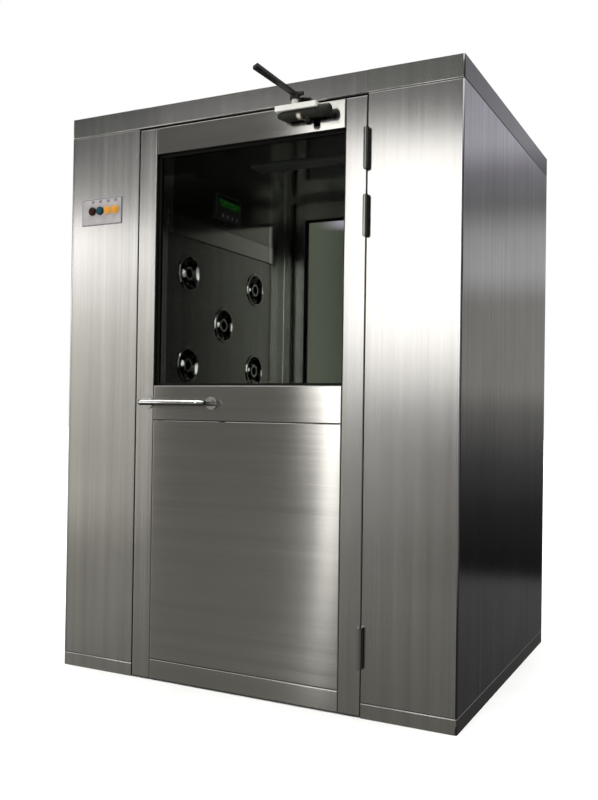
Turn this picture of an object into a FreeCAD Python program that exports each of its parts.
import FreeCAD, Part
import math
import os

# Air shower: a stainless walk-in cabinet with a door at each end. Two hollow side casings hold
# the blowers, the filters and the air nozzles, and the chamber lies between them.
# Millimetres, +Z up, origin at the middle of the underside. The front faces -Y.

# Cabinet
WIDTH = 1555.0
DEPTH = 1270.0
HEIGHT = 2100.0
PLINTH_HEIGHT = 50.0
BAND_HEIGHT = 77.0
CHAMBER_WIDTH = 940.0
SHEET = 1.5
BASE_SHEET = 3.0
CORNER_BEND = 6.0
FOLD_BEND = 5.0
CORNER_WRAP = 10.0
TRAY_DEPTH = 20.0
ROOF_LIP = 25.0
BASE_FLANGE = 40.0
SEAT_GAP = 0.3

# Doors
JAMB_LAP = 15.0
DOOR_THICKNESS = 50.0
DOOR_FLOOR_GAP = 3.0
DOOR_TOP_GAP = 5.0
DOOR_SIDE_GAP = 3.0
STILE_WIDTH = 78.0
TOP_RAIL = 98.0
MID_RAIL = 126.5
MID_RAIL_LOW = 946.0
BOTTOM_RAIL = 72.0
GLASS = 6.0
GLAZING_WIDTH = 9.0
GLAZING_DEPTH = 14.0
SEAL_THICKNESS = 4.7
SEAL_WIDTH = 12.0
STOP_WIDTH = 23.0
STOP_DEPTH = 27.0

# Hinges
HINGE_LENGTH = 127.0
HINGE_LOWS = (162.0, 1560.0, 1779.0)
KNUCKLE_RADIUS = 10.0
HINGE_PIN_RADIUS = 5.0
RUNNING_FIT = 0.05
KNUCKLE_GAP = 0.3
HINGE_LEAF = 1.2
HINGE_LEAF_DEPTH = 35.0
HINGE_TIP = 4.5

# Pull handle
HANDLE_HEIGHT = 1010.0
HANDLE_SET_IN = 55.0
HANDLE_LENGTH = 275.0
HANDLE_REACH = 65.0
HANDLE_RADIUS = 10.5
HANDLE_BEND = 24.0
HANDLE_FOOT_RADIUS = 23.0
HANDLE_FOOT = 5.0

# Door closer and its arm
CLOSER_SET_IN = 311.0
CLOSER_TOP_GAP = 13.0
CLOSER_SLAB = 151.0
CLOSER_SLAB_HEIGHT = 18.0
CLOSER_SLAB_DEPTH = 60.0
CLOSER_STANDOFF = 32.0
CLOSER_LENGTH = 193.0
CLOSER_TUBE = 20.5
CLOSER_TUBE_DROP = 27.0
CLOSER_TAPER = 24.0
CLOSER_NOSE = 8.0
CLOSER_END = 4.0
CLOSER_PLATE = 5.0
CLOSER_RIBS = 5
CLOSER_RIB_PITCH = 9.0
CLOSER_GROOVE = 3.0
CLOSER_RIB_DEPTH = 2.0
VALVE_SET_IN = 114.0
VALVE_RADIUS = 12.0
VALVE_DROP = 40.0
VALVE_BEVEL = 5.0
SPINDLE_SET_IN = 61.0
SPINDLE_RADIUS = 8.0
SPINDLE_SLEEVE = 11.0
SPINDLE_NECK = 22.0
ARM_LENGTH = 261.0
ARM_SKEW = 17.0
ARM_WIDTH = 26.0
ARM_NECK = 18.0
ARM_THICKNESS = 10.0
ARM_HUB_RADIUS = 17.0
ARM_HUB_HEIGHT = 23.0
ARM_TAIL = 31.0
ELBOW_RIVET = 7.0

# Inner walls and air nozzles
POST_WIDTH = 124.0
WALL_BAND_LOW = 1685.0
WALL_BAND_HEIGHT = 80.0
WALL_BAND_PROUD = 3.0
NOZZLE_PANEL_LOW = 520.0
NOZZLE_PANEL_STEP = 3.0
NOZZLE_PANEL_DEPTH = 18.0
NOZZLE_COLUMN = 271.0
NOZZLE_TOP = 1541.0
NOZZLE_PITCH = 187.0
NOZZLE_ROWS = 4
BALL_RADIUS = 42.0
BALL_FIT = 0.3
BALL_SET_BACK = 30.0
BALL_NOSE = 31.0
BALL_TAIL = 22.0
BALL_MOUTH = 19.0
BALL_WALL = 2.5
RING_RADIUS = 75.0
RING_BOWL = 64.0
RING_RIM = 5.0
RING_ROLL = 2.5
RING_WALL = 2.0
SOCKET_FRONT = 11.0
SOCKET_BACK = 11.0

# Return air grilles
GRILLE_LOW = 110.0
GRILLE_HIGH = 480.0
GRILLE_RIM = 20.0
GRILLE_DEPTH = 14.0
LOUVRES = 14
LOUVRE_SHEET = 1.2
LOUVRE_TILT = 35.0
PREFILTER_DEPTH = 18.0

# Blowers and fine filters in the casings
BLOWER_HEIGHT = 290.0
SCROLL_RADIUS = 165.0
SCROLL_STEP = 24.0
SCROLL_WIDTH = 120.0
SCROLL_SET_BACK = 45.0
INLET_RADIUS = 112.0
DECK_HEIGHT = 535.0
DECK_FLANGE = 30.0
IMPELLER_RADIUS = 140.0
IMPELLER_WIDTH = 96.0
IMPELLER_SIDE_GAP = 9.0
BLADES = 24
BLADE_DEPTH = 26.0
BLADE_SHEET = 1.2
HUB_RADIUS = 25.0
HUB_LENGTH = 36.0
SHAFT_RADIUS = 8.0
MOTOR_RADIUS = 75.0
MOTOR_LENGTH = 108.0
FILTER_HEIGHT = 150.0
FILTER_RIM = 18.0
FILTER_RECESS = 8.0

# Ceiling lamp
LAMP_LENGTH = 632.0
LAMP_WIDTH = 92.0
LAMP_HEIGHT = 58.0
DIFFUSER_DROP = 8.0
DIFFUSER_LAP = 4.0
DIFFUSER_WALL = 2.0

# Controls
PLATE_SET_IN = 55.5
PLATE_WIDTH = 187.0
PLATE_LOW = 1682.0
PLATE_HEIGHT = 100.0
PLATE_THICKNESS = 3.0
CONTROL_PITCH = 36.0
CONTROL_SET_IN = 52.0
CONTROL_RISE = 53.0
BEZEL_RADIUS = 16.0
BEZEL_HEIGHT = 7.0
CAP_RADIUS = 13.2
CAP_FIT = 0.3
CAP_PROUD = 4.0
CAP_LENGTH = 22.0
LENS_TOP = 9.0
DISPLAY_NEAR = -84.0
DISPLAY_WIDTH = 190.0
DISPLAY_LOW = 1806.0
DISPLAY_HEIGHT = 107.0
DISPLAY_DEPTH = 14.0
DISPLAY_FRAME = 10.0
DISPLAY_RECESS = 2.0
DISPLAY_SCREEN_LOW = 50.0
KEYS = 4
KEY_SIZE = 14.0
KEY_PROUD = 1.5
MAGNET_LENGTH = 250.0
MAGNET_DEPTH = 26.0
MAGNET_HEIGHT = 26.0

# Sizes that follow
HALF_WIDTH = WIDTH / 2
HALF_DEPTH = DEPTH / 2
WALL_X = CHAMBER_WIDTH / 2
PANEL_TOP = HEIGHT - BAND_HEIGHT
DOOR_X = WALL_X - JAMB_LAP
DOORWAY_X = DOOR_X + DOOR_SIDE_GAP
DOOR_TOP = PANEL_TOP - DOOR_TOP_GAP
DOOR_BACK = -HALF_DEPTH + DOOR_THICKNESS
STOP_Y = DOOR_BACK + SEAL_THICKNESS + SEAT_GAP
JAMB_BACK = STOP_Y + STOP_DEPTH
STOP_X = DOORWAY_X - STOP_WIDTH
CEILING = PANEL_TOP - 2 * SHEET
INSIDE_X = HALF_WIDTH - SHEET
WINDOW_X = DOOR_X - STILE_WIDTH
WINDOW_LOW = MID_RAIL_LOW + MID_RAIL
WINDOW_TOP = DOOR_TOP - TOP_RAIL
HINGE_X = (DOOR_X + DOORWAY_X) / 2
HINGE_Y = -HALF_DEPTH - KNUCKLE_RADIUS - SEAT_GAP
PANEL_FACE = WALL_X + NOZZLE_PANEL_STEP
PANEL_BACK = PANEL_FACE + NOZZLE_PANEL_DEPTH
OPENING_Y = -JAMB_BACK - POST_WIDTH
HANDLE_LEFT = -DOOR_X + HANDLE_SET_IN
HANDLE_RIGHT = HANDLE_LEFT + HANDLE_LENGTH
CLOSER_LEFT = DOOR_X - CLOSER_SET_IN
CLOSER_TOP = DOOR_TOP - CLOSER_TOP_GAP
SPINDLE_PLACE = CLOSER_LEFT + SPINDLE_SET_IN
PLATE_LEFT = -HALF_WIDTH + PLATE_SET_IN
CONTROL_LEFT = PLATE_LEFT + CONTROL_SET_IN
CONTROL_HEIGHT = PLATE_LOW + CONTROL_RISE
MORE = 10.0

X_AXIS = FreeCAD.Vector(1, 0, 0)
Y_AXIS = FreeCAD.Vector(0, 1, 0)
Z_AXIS = FreeCAD.Vector(0, 0, 1)
ORIGIN = FreeCAD.Vector(0, 0, 0)


def point(x, y=0.0, z=0.0):
    return FreeCAD.Vector(x, y, z)


def block(x, y, z):
    """A box between three pairs of limits."""
    return Part.makeBox(x[1] - x[0], y[1] - y[0], z[1] - z[0], point(x[0], y[0], z[0]))


def rod(radius, start, end):
    """A cylinder from one point to another."""
    along = end - start
    return Part.makeCylinder(radius, along.Length, start, along)


def joined(shapes):
    """Several overlapping or touching solids made one."""
    return shapes[0].fuse(list(shapes[1:])).removeSplitter()


def mirrored(shape):
    """The same piece on the other side of the cabinet."""
    return shape.mirror(ORIGIN, X_AXIS)


def turned(shape):
    """The same piece at the rear of the cabinet."""
    return shape.rotated(ORIGIN, Z_AXIS, 180)


def tray(x, y, z, wall, open_axis, open_side):
    """A folded sheet tray: a box with one face left open."""
    outer = [list(x), list(y), list(z)]
    inner = [[low + wall, high - wall] for low, high in outer]
    end = 1 if open_side > 0 else 0
    inner[open_axis][end] = outer[open_axis][end] + open_side * wall
    return block(*outer).cut(block(*inner))


def round_upright_edges(shape, radius, x):
    """Rounds the vertical edges that stand at one distance to the side."""
    edges = [
        edge for edge in shape.Edges
        if abs(edge.tangentAt(edge.FirstParameter).z) > 0.99
        and abs(edge.CenterOfMass.x - x) < 0.01
    ]
    return shape.makeFillet(radius, edges)


def round_rim(shape, radius, z, inner_x):
    """Rounds the outer edges at one height. The edge on the doorway side stays sharp."""
    edges = [
        edge for edge in shape.Edges
        if abs(edge.tangentAt(edge.FirstParameter).z) < 0.01
        and abs(edge.CenterOfMass.z - z) < 0.01
        and edge.CenterOfMass.x > inner_x + 0.01
    ]
    return shape.makeFillet(radius, edges)


def round_long_edge(shape, radius, y, z):
    """Rounds the one edge that runs along X at a given place."""
    edges = [
        edge for edge in shape.Edges
        if abs(edge.CenterOfMass.y - y) < 0.01 and abs(edge.CenterOfMass.z - z) < 0.01
    ]
    return shape.makeFillet(radius, edges)


def prism(corners, along):
    """A flat outline pushed along a vector."""
    wire = Part.makePolygon(list(corners) + [corners[0]])
    return Part.Face(wire).extrude(along)


def folded(path, wall):
    """The outline of a folded sheet: a path, and the same path moved to its right by the wall."""
    moved = []
    for i in range(len(path)):
        before = path[max(i - 1, 0)]
        here = path[i]
        after = path[min(i + 1, len(path) - 1)]
        shift = [0.0, 0.0]
        for start, end in {(before, here), (here, after)}:
            length = math.hypot(end[0] - start[0], end[1] - start[1])
            if length > 0:
                shift[0] += wall * (end[1] - start[1]) / length
                shift[1] -= wall * (end[0] - start[0]) / length
        moved.append((here[0] + shift[0], here[1] + shift[1]))
    return list(path) + moved[::-1]


def save(name, *shapes):
    """Writes one node. Its solids stay separate pieces."""
    solids = [solid for shape in shapes for solid in shape.Solids]
    whole = solids[0] if len(solids) == 1 else Part.makeCompound(solids)
    whole.exportStep("parts/" + name + ".step")
    print(name, len(solids), round(whole.Volume / 1000.0, 1), whole.isValid())


# Cabinet shell


def base_ring():
    """Plinth of one side casing: a ring of channel that opens inwards."""
    y = (-HALF_DEPTH, HALF_DEPTH)
    ring = round_upright_edges(
        block((DOORWAY_X, HALF_WIDTH), y, (0, PLINTH_HEIGHT)), CORNER_BEND, HALF_WIDTH
    )
    ring = round_rim(ring, FOLD_BEND, PLINTH_HEIGHT, DOORWAY_X)
    x_in = (DOORWAY_X + BASE_SHEET, HALF_WIDTH - BASE_SHEET)
    y_in = (y[0] + BASE_SHEET, y[1] - BASE_SHEET)
    hollow = block(x_in, y_in, (BASE_SHEET, PLINTH_HEIGHT - BASE_SHEET))
    window = block(
        (DOORWAY_X + BASE_FLANGE, HALF_WIDTH - BASE_FLANGE),
        (y[0] + BASE_FLANGE, y[1] - BASE_FLANGE),
        (-MORE, PLINTH_HEIGHT + MORE),
    )
    return ring.cut(hollow).cut(window)


def cross_bar(y_low):
    """Square bar under the floor, between the two plinth rings."""
    z = (0, PLINTH_HEIGHT - BASE_SHEET)
    outer = block((-DOORWAY_X, DOORWAY_X), (y_low, y_low + BASE_FLANGE), z)
    return outer.cut(block(
        (-DOORWAY_X - MORE, DOORWAY_X + MORE),
        (y_low + BASE_SHEET, y_low + BASE_FLANGE - BASE_SHEET),
        (z[0] + BASE_SHEET, z[1] - BASE_SHEET),
    ))


def base_frame():
    bars = [cross_bar(STOP_Y), cross_bar(-BASE_FLANGE / 2), cross_bar(-STOP_Y - BASE_FLANGE)]
    return joined([base_ring(), mirrored(base_ring())] + bars)


def floor_plate():
    x = DOORWAY_X - SEAT_GAP
    return block((-x, x), (STOP_Y, -STOP_Y), (PLINTH_HEIGHT - BASE_SHEET, PLINTH_HEIGHT))


def side_panel():
    """Side cladding, bent round both corners, with a short return on the front and the rear."""
    x = (HALF_WIDTH - CORNER_WRAP, HALF_WIDTH)
    y = (-HALF_DEPTH, HALF_DEPTH)
    z = (PLINTH_HEIGHT, PANEL_TOP)
    outer = round_upright_edges(block(x, y, z), CORNER_BEND, HALF_WIDTH)
    inner = round_upright_edges(
        block((x[0] - MORE, INSIDE_X), (y[0] + SHEET, y[1] - SHEET), (z[0] + SHEET, z[1] - SHEET)),
        CORNER_BEND - SHEET, INSIDE_X,
    )
    return outer.cut(inner)


def face_panel(holes=()):
    """Front or rear panel beside a doorway. Holes are (x, z, radius)."""
    panel = tray(
        (DOORWAY_X, HALF_WIDTH - CORNER_WRAP),
        (-HALF_DEPTH, -HALF_DEPTH + TRAY_DEPTH),
        (PLINTH_HEIGHT, PANEL_TOP), SHEET, 1, 1,
    )
    for x, z, radius in holes:
        panel = panel.cut(rod(
            radius, point(x, -HALF_DEPTH - MORE, z), point(x, -HALF_DEPTH + MORE, z)
        ))
    return panel


def cap_band():
    """Top band round one side casing, with a lip at its foot and one under the roof."""
    x = (DOOR_X, HALF_WIDTH)
    y = (-HALF_DEPTH, HALF_DEPTH)
    band = round_upright_edges(block(x, y, (PANEL_TOP, HEIGHT)), CORNER_BEND, HALF_WIDTH)
    band = round_rim(band, FOLD_BEND, PANEL_TOP, x[0])
    x_in = (x[0] - MORE, INSIDE_X)
    y_in = (y[0] + SHEET, y[1] - SHEET)
    between = block(x_in, y_in, (PANEL_TOP + SHEET, HEIGHT - 2 * SHEET))
    roof_space = block(x_in, y_in, (HEIGHT - SHEET, HEIGHT + MORE))
    window = block(
        (x[0] - MORE, INSIDE_X - ROOF_LIP),
        (y_in[0] + ROOF_LIP, y_in[1] - ROOF_LIP),
        (PANEL_TOP - MORE, HEIGHT + MORE),
    )
    inner = round_upright_edges(between, CORNER_BEND - SHEET, INSIDE_X)
    inner = round_rim(inner, FOLD_BEND - SHEET, PANEL_TOP + SHEET, x_in[0])
    above = round_upright_edges(roof_space, CORNER_BEND - SHEET, INSIDE_X)
    return band.cut(inner).cut(above).cut(window)


def door_lintel():
    """Band over a doorway. Its lower flange reaches back over the head of the jamb."""
    x = (-DOOR_X, DOOR_X)
    front = -HALF_DEPTH
    past = (x[0] - MORE, x[1] + MORE)
    lintel = block(x, (front, front + DOOR_THICKNESS), (PANEL_TOP, HEIGHT))
    lintel = round_long_edge(lintel, FOLD_BEND, front, PANEL_TOP)
    between = block(
        past, (front + SHEET, front + DOOR_THICKNESS + MORE),
        (PANEL_TOP + SHEET, HEIGHT - 2 * SHEET),
    )
    between = round_long_edge(between, FOLD_BEND - SHEET, front + SHEET, PANEL_TOP + SHEET)
    roof_space = block(
        past, (front + SHEET, front + DOOR_THICKNESS + MORE), (HEIGHT - SHEET, HEIGHT + MORE)
    )
    behind_lip = block(
        past, (front + SHEET + ROOF_LIP, front + DOOR_THICKNESS + MORE),
        (PANEL_TOP + SHEET, HEIGHT + MORE),
    )
    return lintel.cut(between).cut(roof_space).cut(behind_lip)


def roof_panel():
    x = INSIDE_X - SEAT_GAP
    y = HALF_DEPTH - SHEET - SEAT_GAP
    sheet = block((-x, x), (-y, y), (HEIGHT - SHEET, HEIGHT))
    for side in (-x, x):
        sheet = round_upright_edges(sheet, CORNER_BEND - SHEET, side)
    return sheet


def ceiling_panel():
    sheet = block(
        (-WALL_X - SHEET, WALL_X + SHEET), (JAMB_BACK, -JAMB_BACK), (CEILING, CEILING + SHEET)
    )
    return sheet.cut(block(
        (-LAMP_LENGTH / 2, LAMP_LENGTH / 2), (-LAMP_WIDTH / 2, LAMP_WIDTH / 2),
        (CEILING - MORE, CEILING + MORE),
    ))


def door_jamb():
    """Folded frame round the front doorway, with the stop that the door seal meets."""
    front = -HALF_DEPTH + TRAY_DEPTH
    side_path = [
        (DOORWAY_X, front), (DOORWAY_X, STOP_Y), (STOP_X, STOP_Y),
        (STOP_X, JAMB_BACK), (WALL_X, JAMB_BACK),
    ]
    side = prism(
        [point(x, y, PLINTH_HEIGHT) for x, y in folded(side_path, SHEET)],
        Z_AXIS * (PANEL_TOP - PLINTH_HEIGHT),
    )
    reveal = PANEL_TOP - SHEET
    head_path = [
        (reveal, front), (reveal, STOP_Y), (reveal - STOP_WIDTH, STOP_Y),
        (reveal - STOP_WIDTH, JAMB_BACK), (CEILING, JAMB_BACK),
    ]
    head = prism(
        [point(-DOORWAY_X, y, z) for z, y in folded(head_path, SHEET)], X_AXIS * 2 * DOORWAY_X
    )
    return joined([side, mirrored(side), head])


# Inner walls


def flanged_opening(z):
    """Sheet edges turned back into the casing round an opening of an inner wall."""
    x = (WALL_X, PANEL_BACK)
    y = (-OPENING_Y, OPENING_Y)
    rim = block(x, (y[0] - SHEET, y[1] + SHEET), (z[0] - SHEET, z[1] + SHEET))
    return rim.cut(block((x[0] - MORE, x[1] + MORE), y, z))


def wall_frame():
    """Inner wall of the right casing: posts, raised band, upper panel and lower strip."""
    nozzle_z = (NOZZLE_PANEL_LOW, WALL_BAND_LOW)
    grille_z = (GRILLE_LOW, GRILLE_HIGH)
    wall = block((WALL_X, WALL_X + SHEET), (JAMB_BACK, -JAMB_BACK), (PLINTH_HEIGHT, CEILING))
    for z in (nozzle_z, grille_z):
        opening = block((WALL_X - MORE, WALL_X + MORE), (-OPENING_Y, OPENING_Y), z)
        wall = wall.cut(opening)
    band = block(
        (WALL_X - WALL_BAND_PROUD, WALL_X + SHEET), (-OPENING_Y, OPENING_Y),
        (WALL_BAND_LOW, WALL_BAND_LOW + WALL_BAND_HEIGHT),
    )
    return joined([wall, band, flanged_opening(nozzle_z), flanged_opening(grille_z)])


def nozzle_places():
    """(y, z) of each nozzle: two and one in turn, row by row from the top."""
    places = []
    for row in range(NOZZLE_ROWS):
        z = NOZZLE_TOP - row * NOZZLE_PITCH
        columns = (-NOZZLE_COLUMN, NOZZLE_COLUMN) if row % 2 == 0 else (0.0,)
        places += [(y, z) for y in columns]
    return places


def nozzle_panel():
    """Shallow tray with a round hole for each nozzle."""
    y = OPENING_Y - SEAT_GAP
    panel = tray(
        (PANEL_FACE, PANEL_BACK), (-y, y),
        (NOZZLE_PANEL_LOW + SEAT_GAP, WALL_BAND_LOW - SEAT_GAP), SHEET, 0, 1,
    )
    hole = RING_RADIUS - RING_RIM + SEAT_GAP
    for y, z in nozzle_places():
        panel = panel.cut(rod(hole, point(PANEL_FACE - MORE, y, z), point(PANEL_BACK, y, z)))
    return panel


def spun(edges):
    """A closed profile of (x, radius) edges, spun about the X axis."""
    return Part.Face(Part.Wire(edges)).revolve(ORIGIN, X_AXIS, 360)


def on_sphere(radius, x):
    """The point of a sphere's outline at one distance along its axis."""
    return point(x, math.sqrt(radius ** 2 - x ** 2))


def nozzle_ball():
    """Swivelling air nozzle: a ball with a funnel bore. Its mouth points to -X."""
    tail = on_sphere(BALL_RADIUS, BALL_TAIL)
    nose = on_sphere(BALL_RADIUS, -BALL_NOSE)
    tail_in = point(BALL_TAIL, tail.y - BALL_WALL)
    lip_in = point(-BALL_NOSE, BALL_MOUTH)
    return spun([
        Part.Arc(tail, point(0.0, BALL_RADIUS), nose).toShape(),
        Part.makeLine(nose, lip_in),
        Part.makeLine(lip_in, tail_in),
        Part.makeLine(tail_in, tail),
    ])


def nozzle_ring():
    """Fixed socket of a nozzle ball: seat, bowl and a folded rim that laps the panel."""
    seat = BALL_RADIUS + BALL_FIT
    back = on_sphere(seat, SOCKET_BACK)
    front = on_sphere(seat, -SOCKET_FRONT)
    face = -BALL_SET_BACK
    bowl = point(face, RING_BOWL)
    rim_in = point(face - RING_RIM, RING_BOWL + RING_ROLL)
    rim_out = point(face - RING_RIM, RING_RADIUS - RING_ROLL)
    rim = point(face, RING_RADIUS)
    neck = point(face, RING_RADIUS - RING_RIM)
    waist = point(-SOCKET_FRONT, front.y + 2 * RING_WALL)
    tail = point(SOCKET_BACK, seat + RING_WALL)
    return spun([
        Part.Arc(back, point(0.0, seat), front).toShape(),
        Part.makeLine(front, bowl),
        Part.makeLine(bowl, rim_in),
        Part.makeLine(rim_in, rim_out),
        Part.makeLine(rim_out, rim),
        Part.makeLine(rim, neck),
        Part.makeLine(neck, waist),
        Part.makeLine(waist, tail),
        Part.makeLine(tail, back),
    ])


def at_nozzles(shape):
    """Copies of a piece at each nozzle of the right wall."""
    x = PANEL_FACE + BALL_SET_BACK
    return [shape.translated(point(x, y, z)) for y, z in nozzle_places()]


def return_grille():
    """Rim with tilted louvres, set in the lower opening of the wall."""
    y = OPENING_Y - SEAT_GAP
    z = (GRILLE_LOW + SEAT_GAP, GRILLE_HIGH - SEAT_GAP)
    x = (WALL_X, WALL_X + GRILLE_DEPTH)
    rim = block(x, (-y, y), z).cut(block(
        (x[0] - MORE, x[1] + MORE), (-y + GRILLE_RIM, y - GRILLE_RIM),
        (z[0] + GRILLE_RIM, z[1] - GRILLE_RIM),
    ))
    pitch = (z[1] - z[0] - 2 * GRILLE_RIM) / LOUVRES
    run = GRILLE_DEPTH - 2 * LOUVRE_SHEET
    rise = run * math.tan(math.radians(LOUVRE_TILT))
    blades = []
    for i in range(LOUVRES):
        low = z[0] + GRILLE_RIM + pitch * (i + 0.5) - rise / 2
        near = x[0] + LOUVRE_SHEET
        corners = [
            point(near, -y + GRILLE_RIM, low), point(near + run, -y + GRILLE_RIM, low + rise),
            point(near + run, -y + GRILLE_RIM, low + rise + LOUVRE_SHEET),
            point(near, -y + GRILLE_RIM, low + LOUVRE_SHEET),
        ]
        blades.append(prism(corners, Y_AXIS * 2 * (y - GRILLE_RIM)))
    return joined([rim] + blades)


def prefilter():
    """Washable pad behind the grille."""
    x = WALL_X + GRILLE_DEPTH
    y = OPENING_Y - SEAT_GAP
    z = (GRILLE_LOW + SEAT_GAP, GRILLE_HIGH - SEAT_GAP)
    return block((x, x + PREFILTER_DEPTH), (-y, y), z)


# Blower, motor and filter of the right casing

SCROLL_NEAR = PANEL_BACK + SCROLL_SET_BACK
SCROLL_FAR = SCROLL_NEAR + SCROLL_WIDTH


def scroll_outline(x, wall, top):
    """Blower scroll seen along its axis: three growing quarter arcs and an upright outlet."""
    half = SCROLL_STEP / 2
    centres = [(-half, -half), (half, -half), (half, half)]
    diagonal = math.sqrt(0.5)
    radii = [SCROLL_RADIUS + SCROLL_STEP * i - wall for i in range(3)]
    compass = [(0, 1), (-1, 0), (0, -1), (1, 0)]
    edges = []
    for i in range(3):
        middle = [(compass[i][k] + compass[i + 1][k]) * diagonal for k in (0, 1)]
        spots = [compass[i], middle, compass[i + 1]]
        arc = [
            point(x, centres[i][0] + radii[i] * spot[0],
                  BLOWER_HEIGHT + centres[i][1] + radii[i] * spot[1])
            for spot in spots
        ]
        edges.append(Part.Arc(*arc).toShape())
        if i == 0:
            tongue = arc[0]
    outer_wall = arc[2]
    corner = point(x, outer_wall.y, top)
    inner_corner = point(x, tongue.y + 2 * wall, top)
    foot = point(x, tongue.y + 2 * wall, tongue.z)
    edges.append(Part.makeLine(outer_wall, corner))
    edges.append(Part.makeLine(corner, inner_corner))
    if wall > 0:
        edges.append(Part.makeLine(inner_corner, foot))
        edges.append(Part.makeLine(foot, tongue))
    else:
        edges.append(Part.makeLine(inner_corner, tongue))
    return Part.Face(Part.Wire(edges))


def blower_housing():
    """Sheet scroll with an inlet to the chamber side, hung under the deck that bears the filter."""
    outer = scroll_outline(SCROLL_NEAR, 0.0, DECK_HEIGHT).extrude(X_AXIS * SCROLL_WIDTH)
    inner = scroll_outline(SCROLL_NEAR + SHEET, SHEET, DECK_HEIGHT + MORE).extrude(
        X_AXIS * (SCROLL_WIDTH - 2 * SHEET)
    )
    centre = BLOWER_HEIGHT
    inlet = rod(INLET_RADIUS, point(SCROLL_NEAR - MORE, 0, centre),
                point(SCROLL_NEAR + MORE, 0, centre))
    lip = rod(INLET_RADIUS + SHEET, point(SCROLL_NEAR, 0, centre),
              point(SCROLL_NEAR - MORE, 0, centre)).cut(inlet)
    motor_hole = rod(HUB_RADIUS, point(SCROLL_FAR - MORE, 0, centre),
                     point(SCROLL_FAR + MORE, 0, centre))
    y = HALF_DEPTH - TRAY_DEPTH - SEAT_GAP
    deck = tray((PANEL_BACK, INSIDE_X), (-y, y), (DECK_HEIGHT - DECK_FLANGE, DECK_HEIGHT + SHEET),
                SHEET, 2, -1)
    outlet = inner.common(block((0, HALF_WIDTH), (-y, y), (DECK_HEIGHT - MORE, DECK_HEIGHT + MORE)))
    shell = outer.cut(inner).cut(inlet).cut(motor_hole)
    return joined([shell, lip, deck.cut(outlet)])


def impeller():
    """Forward-curved fan wheel: back plate, hub, blades and front ring."""
    far = SCROLL_FAR - IMPELLER_SIDE_GAP
    near = far - IMPELLER_WIDTH
    centre = point(0, 0, BLOWER_HEIGHT)
    plate = rod(IMPELLER_RADIUS, centre + X_AXIS * (far - 2 * SHEET), centre + X_AXIS * far)
    hub = rod(HUB_RADIUS - SEAT_GAP, centre + X_AXIS * (far - HUB_LENGTH), centre + X_AXIS * far)
    ring = rod(IMPELLER_RADIUS, centre + X_AXIS * near, centre + X_AXIS * (near + 2 * SHEET))
    ring = ring.cut(rod(
        IMPELLER_RADIUS - BLADE_DEPTH, centre + X_AXIS * (near - MORE), centre + X_AXIS * (near + MORE)
    ))
    root = IMPELLER_RADIUS - BLADE_DEPTH + BLADE_SHEET
    tip = IMPELLER_RADIUS - BLADE_SHEET
    start = point(near + SHEET, 0, root)
    middle = point(near + SHEET, -BLADE_DEPTH / 4, (root + tip) / 2)
    end = point(near + SHEET, 0, tip)
    back = Y_AXIS * BLADE_SHEET
    blade = Part.Face(Part.Wire([
        Part.Arc(start, middle, end).toShape(),
        Part.makeLine(end, end + back),
        Part.Arc(end + back, middle + back, start + back).toShape(),
        Part.makeLine(start + back, start),
    ])).extrude(X_AXIS * (IMPELLER_WIDTH - 2 * SHEET)).translated(centre)
    turn = 360.0 / BLADES
    blades = [blade.rotated(centre, X_AXIS, turn * i) for i in range(BLADES)]
    wheel = joined([plate, hub, ring] + blades)
    bore = SHAFT_RADIUS + RUNNING_FIT
    return wheel.cut(rod(bore, centre + X_AXIS * (far - HUB_LENGTH - MORE), centre + X_AXIS * (far + MORE)))


def blower_motor():
    """Flanged motor on the back of the scroll, with its shaft through the wheel."""
    centre = point(0, 0, BLOWER_HEIGHT)
    far = SCROLL_FAR - IMPELLER_SIDE_GAP
    flange = rod(MOTOR_RADIUS, centre + X_AXIS * SCROLL_FAR, centre + X_AXIS * (SCROLL_FAR + MORE))
    can = rod(MOTOR_RADIUS - MORE, centre + X_AXIS * SCROLL_FAR,
              centre + X_AXIS * (SCROLL_FAR + MOTOR_LENGTH))
    shaft = rod(SHAFT_RADIUS, centre + X_AXIS * (far - HUB_LENGTH), centre + X_AXIS * SCROLL_FAR)
    return joined([flange, can, shaft])


def fine_filter():
    """Fine filter cell on the deck: a deep frame with the pleated pack a little below its rim."""
    x = (PANEL_BACK + SEAT_GAP, INSIDE_X - SEAT_GAP)
    y = HALF_DEPTH - TRAY_DEPTH - 2 * SEAT_GAP
    z = (DECK_HEIGHT + SHEET, DECK_HEIGHT + SHEET + FILTER_HEIGHT)
    cell = block(x, (-y, y), z)
    for low in (z[0] - MORE, z[1] - FILTER_RECESS):
        cell = cell.cut(block(
            (x[0] + FILTER_RIM, x[1] - FILTER_RIM), (-y + FILTER_RIM, y - FILTER_RIM),
            (low, low + MORE + FILTER_RECESS),
        ))
    return cell


# Lamp and controls


def ceiling_lamp():
    """Lamp housing above the ceiling, open downwards, with a flange that rests on the sheet."""
    x = LAMP_LENGTH / 2
    y = LAMP_WIDTH / 2
    z = (CEILING + SHEET, CEILING + SHEET + LAMP_HEIGHT)
    box = tray((-x, x), (-y, y), z, SHEET, 2, -1)
    flange = block((-x - MORE, x + MORE), (-y - MORE, y + MORE), (z[0], z[0] + SHEET))
    return joined([box, flange.cut(block((-x, x), (-y, y), (z[0] - MORE, z[0] + MORE)))])


def lamp_diffuser():
    """Opal cover under the lamp, a shallow pan that laps the ceiling round the opening."""
    x = LAMP_LENGTH / 2 + DIFFUSER_LAP
    y = LAMP_WIDTH / 2 + DIFFUSER_LAP
    return tray((-x, x), (-y, y), (CEILING - DIFFUSER_DROP, CEILING), DIFFUSER_WALL, 2, 1)


def control_places():
    """(x, z) of the two buttons and the two lamps, from left to right."""
    return [(CONTROL_LEFT + CONTROL_PITCH * i, CONTROL_HEIGHT) for i in range(4)]


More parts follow.
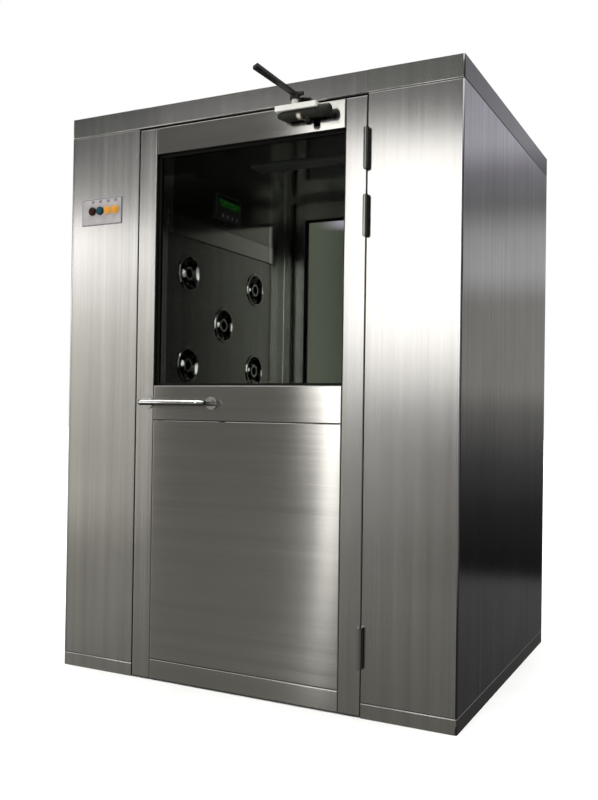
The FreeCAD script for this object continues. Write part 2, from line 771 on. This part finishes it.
def control_rod(x, z, radius, out, back):
    """A cylinder square to the front, from so far in front of it to so far behind."""
    return rod(radius, point(x, -HALF_DEPTH - out, z), point(x, -HALF_DEPTH + back, z))


def control_plate():
    """Plate with a bezel for each control."""
    plate = block(
        (PLATE_LEFT, PLATE_LEFT + PLATE_WIDTH), (-HALF_DEPTH - PLATE_THICKNESS, -HALF_DEPTH),
        (PLATE_LOW, PLATE_LOW + PLATE_HEIGHT),
    )
    bezels = [
        control_rod(x, z, BEZEL_RADIUS, PLATE_THICKNESS + BEZEL_HEIGHT, 0.0)
        for x, z in control_places()
    ]
    whole = joined([plate] + bezels)
    for x, z in control_places():
        whole = whole.cut(control_rod(x, z, CAP_RADIUS + CAP_FIT, 2 * MORE, MORE))
    return whole


def push_button(index):
    """Button cap with a bevelled edge, and the plunger behind it."""
    x, z = control_places()[index]
    out = PLATE_THICKNESS + BEZEL_HEIGHT + CAP_PROUD
    cap = control_rod(x, z, CAP_RADIUS, out, CAP_LENGTH - out)
    rim = [edge for edge in cap.Edges if abs(edge.CenterOfMass.y + HALF_DEPTH + out) < 0.01]
    return cap.makeChamfer(KEY_PROUD, rim)


def indicator_lamp(index):
    """Tapered lens seated in its bezel."""
    x, z = control_places()[index]
    out = PLATE_THICKNESS + BEZEL_HEIGHT
    barrel = control_rod(x, z, CAP_RADIUS, out, SHEET)
    lens = Part.makeCone(CAP_RADIUS, LENS_TOP, CAP_PROUD, point(x, -HALF_DEPTH - out, z), -Y_AXIS)
    return joined([barrel, lens])


def display_controller():
    """Flat case on the left inner wall, with a sunk screen above a row of keys."""
    x = (-WALL_X, -WALL_X + DISPLAY_DEPTH)
    y = (DISPLAY_NEAR, DISPLAY_NEAR + DISPLAY_WIDTH)
    z = (DISPLAY_LOW, DISPLAY_LOW + DISPLAY_HEIGHT)
    case = block(x, y, z)
    screen = block(
        (x[1] - DISPLAY_RECESS, x[1] + MORE), (y[0] + DISPLAY_FRAME, y[1] - DISPLAY_FRAME),
        (z[0] + DISPLAY_SCREEN_LOW, z[1] - DISPLAY_FRAME),
    )
    keys = []
    pitch = DISPLAY_WIDTH / (KEYS + 1)
    for i in range(KEYS):
        middle = y[0] + pitch * (i + 1)
        low = z[0] + DISPLAY_FRAME
        keys.append(block(
            (x[1] - SHEET, x[1] + KEY_PROUD), (middle - KEY_SIZE / 2, middle + KEY_SIZE / 2),
            (low, low + KEY_SIZE),
        ))
    return joined([case.cut(screen)] + keys)


def interlock_magnet():
    """Long magnet housing inside the head of the front doorway, on the latch side."""
    return block(
        (-STOP_X, -STOP_X + MAGNET_LENGTH), (JAMB_BACK, JAMB_BACK + MAGNET_DEPTH),
        (CEILING - MAGNET_HEIGHT, CEILING),
    )


# Front door. The rear door is the same door turned round.


def door_leaf():
    """Welded leaf frame of box-section stiles and rails. The stiles are open at the foot."""
    x = (-DOOR_X, DOOR_X)
    y = (-HALF_DEPTH, DOOR_BACK)
    bottom_top = DOOR_FLOOR_GAP + BOTTOM_RAIL
    leaf = block(x, y, (DOOR_FLOOR_GAP, DOOR_TOP))
    for z in ((WINDOW_LOW, WINDOW_TOP), (bottom_top, MID_RAIL_LOW)):
        leaf = leaf.cut(block((-WINDOW_X, WINDOW_X), (y[0] - MORE, y[1] + MORE), z))
    y_in = (y[0] + SHEET, y[1] - SHEET)
    stile = block(
        (WINDOW_X + SHEET, DOOR_X - SHEET), y_in, (DOOR_FLOOR_GAP - MORE, DOOR_TOP - SHEET)
    )
    rails = [
        (DOOR_FLOOR_GAP, bottom_top), (MID_RAIL_LOW, WINDOW_LOW), (WINDOW_TOP, DOOR_TOP)
    ]
    hollows = [stile, mirrored(stile)]
    for low, high in rails:
        across = (-WINDOW_X - MORE, WINDOW_X + MORE)
        hollows.append(block(across, y_in, (low + SHEET, high - SHEET)))
    return leaf.cut(joined(hollows))


def door_lower_panel():
    """Double-skinned panel in the lower part of the leaf, open towards the stiles."""
    z = (DOOR_FLOOR_GAP + BOTTOM_RAIL, MID_RAIL_LOW)
    skins = block((-WINDOW_X, WINDOW_X), (-HALF_DEPTH, DOOR_BACK), z)
    return skins.cut(block(
        (-WINDOW_X - MORE, WINDOW_X + MORE), (-HALF_DEPTH + SHEET, DOOR_BACK - SHEET),
        (z[0] + SHEET, z[1] - SHEET),
    ))


def glass_spans(inset):
    """Width and height limits of the window, drawn in by an inset."""
    return (-WINDOW_X + inset, WINDOW_X - inset), (WINDOW_LOW + inset, WINDOW_TOP - inset)


def door_glass():
    x, z = glass_spans(GLAZING_WIDTH / 3)
    middle = (-HALF_DEPTH + DOOR_BACK) / 2
    return block(x, (middle - GLASS / 2, middle + GLASS / 2), z)


def door_seals():
    """Glazing channel round the glass, and the strip on the back of the leaf."""
    middle = (-HALF_DEPTH + DOOR_BACK) / 2
    x, z = glass_spans(0.0)
    x_in, z_in = glass_spans(GLAZING_WIDTH)
    deep = (middle - GLAZING_DEPTH / 2, middle + GLAZING_DEPTH / 2)
    past = (deep[0] - MORE, deep[1] + MORE)
    glazing = block(x, deep, z).cut(block(x_in, past, z_in)).cut(door_glass())
    edge = STOP_WIDTH / 4
    low = DOOR_FLOOR_GAP + edge
    high = DOOR_TOP - edge
    side = DOOR_X - edge
    strip_y = (DOOR_BACK, DOOR_BACK + SEAL_THICKNESS)
    strip = block((-side, side), strip_y, (low, high)).cut(block(
        (-side + SEAL_WIDTH, side - SEAL_WIDTH), (strip_y[0] - MORE, strip_y[1] + MORE),
        (low + SEAL_WIDTH, high - SEAL_WIDTH),
    ))
    return [glazing, strip]


def pull_handle():
    """Bent polished tube across the latch side, on two round feet."""
    z = HANDLE_HEIGHT
    front = -HALF_DEPTH
    out = front - HANDLE_REACH
    bend = HANDLE_BEND
    corner = bend * (1 - math.sqrt(0.5))
    left = [point(HANDLE_LEFT, front, z), point(HANDLE_LEFT, out + bend, z)]
    left_arc = point(HANDLE_LEFT + corner, out + corner, z)
    bar = [point(HANDLE_LEFT + bend, out, z), point(HANDLE_RIGHT - bend, out, z)]
    right_arc = point(HANDLE_RIGHT - corner, out + corner, z)
    right = [point(HANDLE_RIGHT, out + bend, z), point(HANDLE_RIGHT, front, z)]
    path = Part.Wire([
        Part.makeLine(*left),
        Part.Arc(left[1], left_arc, bar[0]).toShape(),
        Part.makeLine(*bar),
        Part.Arc(bar[1], right_arc, right[0]).toShape(),
        Part.makeLine(*right),
    ])
    section = Part.Wire([Part.makeCircle(HANDLE_RADIUS, left[0], Y_AXIS)])
    tube = path.makePipeShell([section], True, False)
    feet = [
        rod(HANDLE_FOOT_RADIUS, point(x, front, z), point(x, front - HANDLE_FOOT, z))
        for x in (HANDLE_LEFT, HANDLE_RIGHT)
    ]
    return joined([tube] + feet)


def hinge_rod(radius, low, high):
    return rod(radius, point(HINGE_X, HINGE_Y, low), point(HINGE_X, HINGE_Y, high))


def hinge(low):
    """One lift-off hinge: the upper half on the door, the lower half on the jamb with the pin."""
    top = low + HINGE_LENGTH
    middle = (low + top) / 2
    back = -HALF_DEPTH + HINGE_LEAF_DEPTH
    halves = []
    for leaf_x, span in (
        ((DOOR_X, DOOR_X + HINGE_LEAF), (middle + KNUCKLE_GAP / 2, top)),
        ((DOORWAY_X - HINGE_LEAF, DOORWAY_X), (low, middle - KNUCKLE_GAP / 2)),
    ):
        halves.append([
            block(leaf_x, (-HALF_DEPTH, back), (low, top)),
            block(leaf_x, (HINGE_Y, -HALF_DEPTH), span),
            hinge_rod(KNUCKLE_RADIUS, *span),
        ])
    door_side, frame_side = halves
    pin_end = top - HINGE_PIN_RADIUS
    bore = hinge_rod(HINGE_PIN_RADIUS + RUNNING_FIT, low, pin_end)
    pin = hinge_rod(HINGE_PIN_RADIUS, low, pin_end - SEAT_GAP)
    tip = KNUCKLE_RADIUS - SHEET
    door_side.append(hinge_rod(tip, top, top + HINGE_TIP))
    frame_side += [pin, hinge_rod(tip, low - HINGE_TIP, low)]
    return joined(door_side).cut(bore), joined(frame_side)


def spring_tube():
    """Spring tube of the closer along X from the origin: tapered at one end, grooved at the other."""
    outline = [point(0), point(0, CLOSER_NOSE), point(CLOSER_TAPER, CLOSER_TUBE)]
    core = CLOSER_TUBE - CLOSER_RIB_DEPTH
    for i in range(CLOSER_RIBS):
        near = CLOSER_LENGTH - CLOSER_RIB_PITCH * (CLOSER_RIBS - i)
        far = near + CLOSER_GROOVE
        outline += [
            point(near, CLOSER_TUBE), point(near, core), point(far, core), point(far, CLOSER_TUBE)
        ]
    end = CLOSER_LENGTH - CLOSER_END
    outline += [
        point(end, CLOSER_TUBE), point(CLOSER_LENGTH, CLOSER_TUBE - CLOSER_END), point(CLOSER_LENGTH)
    ]
    return spun(Part.makePolygon(outline + [outline[0]]).Edges)


def closer_body():
    """Door closer on the top rail: cover slab, spring tube, spindle sleeve and valve knob."""
    front = -HALF_DEPTH
    slab_low = CLOSER_TOP - CLOSER_SLAB_HEIGHT
    axis = point(CLOSER_LEFT, front - CLOSER_STANDOFF, CLOSER_TOP - CLOSER_TUBE_DROP)
    ribs = CLOSER_LEFT + CLOSER_LENGTH - CLOSER_RIBS * CLOSER_RIB_PITCH
    slab = block(
        (CLOSER_LEFT, CLOSER_LEFT + CLOSER_SLAB), (front - CLOSER_SLAB_DEPTH, front),
        (slab_low, CLOSER_TOP),
    )
    z = (axis.z - CLOSER_TUBE / 2, slab_low + SHEET)
    web = block((CLOSER_LEFT + CLOSER_TAPER, ribs - MORE), (axis.y, front), z)
    plate = block((CLOSER_LEFT + MORE, ribs), (front - CLOSER_PLATE, front), z)
    valve = axis + X_AXIS * VALVE_SET_IN
    bevel = valve - Z_AXIS * (VALVE_DROP - VALVE_BEVEL)
    knob = [
        rod(VALVE_RADIUS, valve, bevel),
        Part.makeCone(VALVE_RADIUS, VALVE_RADIUS - VALVE_BEVEL, VALVE_BEVEL, bevel, -Z_AXIS),
    ]
    spindle = point(SPINDLE_PLACE, axis.y, CLOSER_TOP)
    sleeve = rod(SPINDLE_SLEEVE, spindle, spindle + Z_AXIS * SPINDLE_NECK)
    tube = spring_tube().translated(axis)
    whole = joined([slab, plate, web, tube, sleeve] + knob)
    socket = rod(
        SPINDLE_RADIUS + RUNNING_FIT, spindle - Z_AXIS * SPINDLE_RADIUS,
        spindle + Z_AXIS * (SPINDLE_NECK + MORE),
    )
    return whole.cut(socket)


def closer_arm():
    """Main arm on the closer spindle. It points straight out, with the elbow rivet at its end."""
    x = SPINDLE_PLACE
    y = -HALF_DEPTH - CLOSER_STANDOFF
    low = CLOSER_TOP + SPINDLE_NECK + SEAT_GAP
    high = low + ARM_HUB_HEIGHT
    bar_low = high - ARM_THICKNESS
    hub = rod(ARM_HUB_RADIUS, point(x, y, low), point(x, y, high))
    spindle = rod(
        SPINDLE_RADIUS, point(x, y, CLOSER_TOP - SPINDLE_RADIUS + SEAT_GAP), point(x, y, low)
    )
    bar = prism([
        point(x - ARM_NECK / 2, y, bar_low), point(x + ARM_NECK / 2, y, bar_low),
        point(x + ARM_WIDTH / 2, y - ARM_LENGTH - ARM_SKEW, bar_low),
        point(x - ARM_WIDTH / 2, y - ARM_LENGTH, bar_low),
    ], Z_AXIS * ARM_THICKNESS)
    tail = prism([
        point(x, y - ARM_NECK / 2, bar_low), point(x + ARM_TAIL, y - ARM_THICKNESS / 2, bar_low),
        point(x + ARM_TAIL, y + ARM_THICKNESS / 2, bar_low), point(x, y + ARM_NECK / 2, bar_low),
    ], Z_AXIS * ARM_THICKNESS)
    elbow = point(x, y - ARM_LENGTH + ARM_WIDTH / 2, bar_low - SHEET)
    rivet = rod(ELBOW_RIVET, elbow, elbow + Z_AXIS * (ARM_THICKNESS + 2 * SHEET))
    return joined([hub, spindle, bar, tail, rivet])


def write_cabinet():
    button_holes = [(x, z, CAP_RADIUS + CAP_FIT + SEAT_GAP) for x, z in control_places()]
    left_front = mirrored(face_panel([(-x, z, radius) for x, z, radius in button_holes]))
    save("base_frame", base_frame())
    save("floor_plate", floor_plate())
    save("right_side_panel", side_panel())
    save("left_side_panel", mirrored(side_panel()))
    save("front_panels", left_front, face_panel())
    save("rear_panels", turned(face_panel()), turned(mirrored(face_panel())))
    save("cap_bands", cap_band(), mirrored(cap_band()))
    save("door_lintels", door_lintel(), turned(door_lintel()))
    save("roof_panel", roof_panel())
    save("ceiling_panel", ceiling_panel())
    save("door_jambs", door_jamb(), turned(door_jamb()))
    save("right_wall_frame", wall_frame())
    save("left_wall_frame", mirrored(wall_frame()))
    save("right_nozzle_panel", nozzle_panel())
    save("left_nozzle_panel", mirrored(nozzle_panel()))
    rings = at_nozzles(nozzle_ring())
    save("nozzle_rings", *(rings + [mirrored(ring) for ring in rings]))
    save("return_grilles", return_grille(), mirrored(return_grille()))
    save("prefilters", prefilter(), mirrored(prefilter()))
    save("blower_housings", blower_housing(), mirrored(blower_housing()))
    save("blower_motors", blower_motor(), mirrored(blower_motor()))
    save("fine_filters", fine_filter(), mirrored(fine_filter()))
    save("ceiling_lamp", ceiling_lamp())
    save("lamp_diffuser", lamp_diffuser())
    save("control_plate", control_plate())
    save("indicator_lamps", indicator_lamp(2), indicator_lamp(3))
    save("display_controller", display_controller())
    save("interlock_magnets", interlock_magnet(), turned(interlock_magnet()))


def write_doors():
    hinges = [hinge(low) for low in HINGE_LOWS]
    door_leaves = [door for door, frame in hinges]
    frame_leaves = [frame for door, frame in hinges]
    pieces = {
        "door_leaf": [door_leaf()],
        "door_lower_panel": [door_lower_panel()],
        "door_glass": [door_glass()],
        "door_seals": door_seals(),
        "pull_handle": [pull_handle()],
        "door_hinge_leaves": door_leaves,
        "closer_body": [closer_body()],
        "closer_arm": [closer_arm()],
    }
    for name, shapes in pieces.items():
        save("front_" + name, *shapes)
        save("rear_" + name, *[turned(shape) for shape in shapes])
    save("frame_hinge_leaves", *(frame_leaves + [turned(leaf) for leaf in frame_leaves]))


def write_moving_pieces():
    for i, ball in enumerate(at_nozzles(nozzle_ball())):
        save("nozzle_ball_right_%d" % (i + 1), ball)
        save("nozzle_ball_left_%d" % (i + 1), mirrored(ball))
    save("right_impeller", impeller())
    save("left_impeller", mirrored(impeller()))
    save("stop_button", push_button(0))
    save("start_button", push_button(1))


os.makedirs("parts", exist_ok=True)
write_cabinet()
write_doors()
write_moving_pieces()
